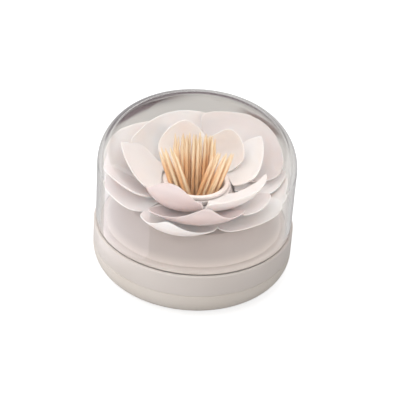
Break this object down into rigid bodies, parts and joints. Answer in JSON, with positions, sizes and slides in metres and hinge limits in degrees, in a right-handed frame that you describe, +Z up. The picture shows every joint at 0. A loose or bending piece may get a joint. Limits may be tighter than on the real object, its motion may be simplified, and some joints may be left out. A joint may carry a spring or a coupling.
{
  "type": "toothpick dispenser",
  "caption": "Round white table dispenser with a flower of petals round a cup of toothpicks, under a clear domed cover that lifts straight off.",
  "frame": {"origin": "centre of the underside, on the surface it stands on", "axes": "+Z up along the axis of the round base, -Y towards the viewer of the picture, +X to the viewer's right"},
  "size_m": [0.1, 0.1, 0.084],
  "materials": {
    "cover_clear": "clear, polished",
    "base_white": "satin gloss",
    "tray_white": "satin gloss",
    "petal_white": "satin, thin edges brighter",
    "cup_white": "satin gloss",
    "collar_white": "satin",
    "ring_white": "satin",
    "pick_wood": "plain, dry"
  },
  "bodies": {
    "base": {"base_lower_shell": "tray_white", "base_upper_shell": "base_white", "collar_inner": "collar_white", "collar_middle": "collar_white", "collar_outer": "collar_white", "cup_lock_ring": "ring_white", "petal_inner_1": "petal_white", "petal_inner_2": "petal_white", "petal_inner_3": "petal_white", "petal_inner_4": "petal_white", "petal_inner_5": "petal_white", "petal_inner_6": "petal_white", "petal_middle_1": "petal_white", "petal_middle_2": "petal_white", "petal_middle_3": "petal_white", "petal_middle_4": "petal_white", "petal_middle_5": "petal_white", "petal_middle_6": "petal_white", "petal_outer_1": "petal_white", "petal_outer_2": "petal_white", "petal_outer_3": "petal_white", "petal_outer_4": "petal_white", "petal_outer_5": "petal_white", "petal_outer_6": "petal_white", "petal_outer_7": "petal_white", "pick_cup": "cup_white", "toothpicks": "pick_wood"},
    "cover": {"cover": "cover_clear"}
  },
  "joints": [
    {"name": "cover_lift", "type": "slide", "parent": "base", "child": "cover", "axis": [0, 0, 1], "range_m": [0, 0.09]}
  ]
}
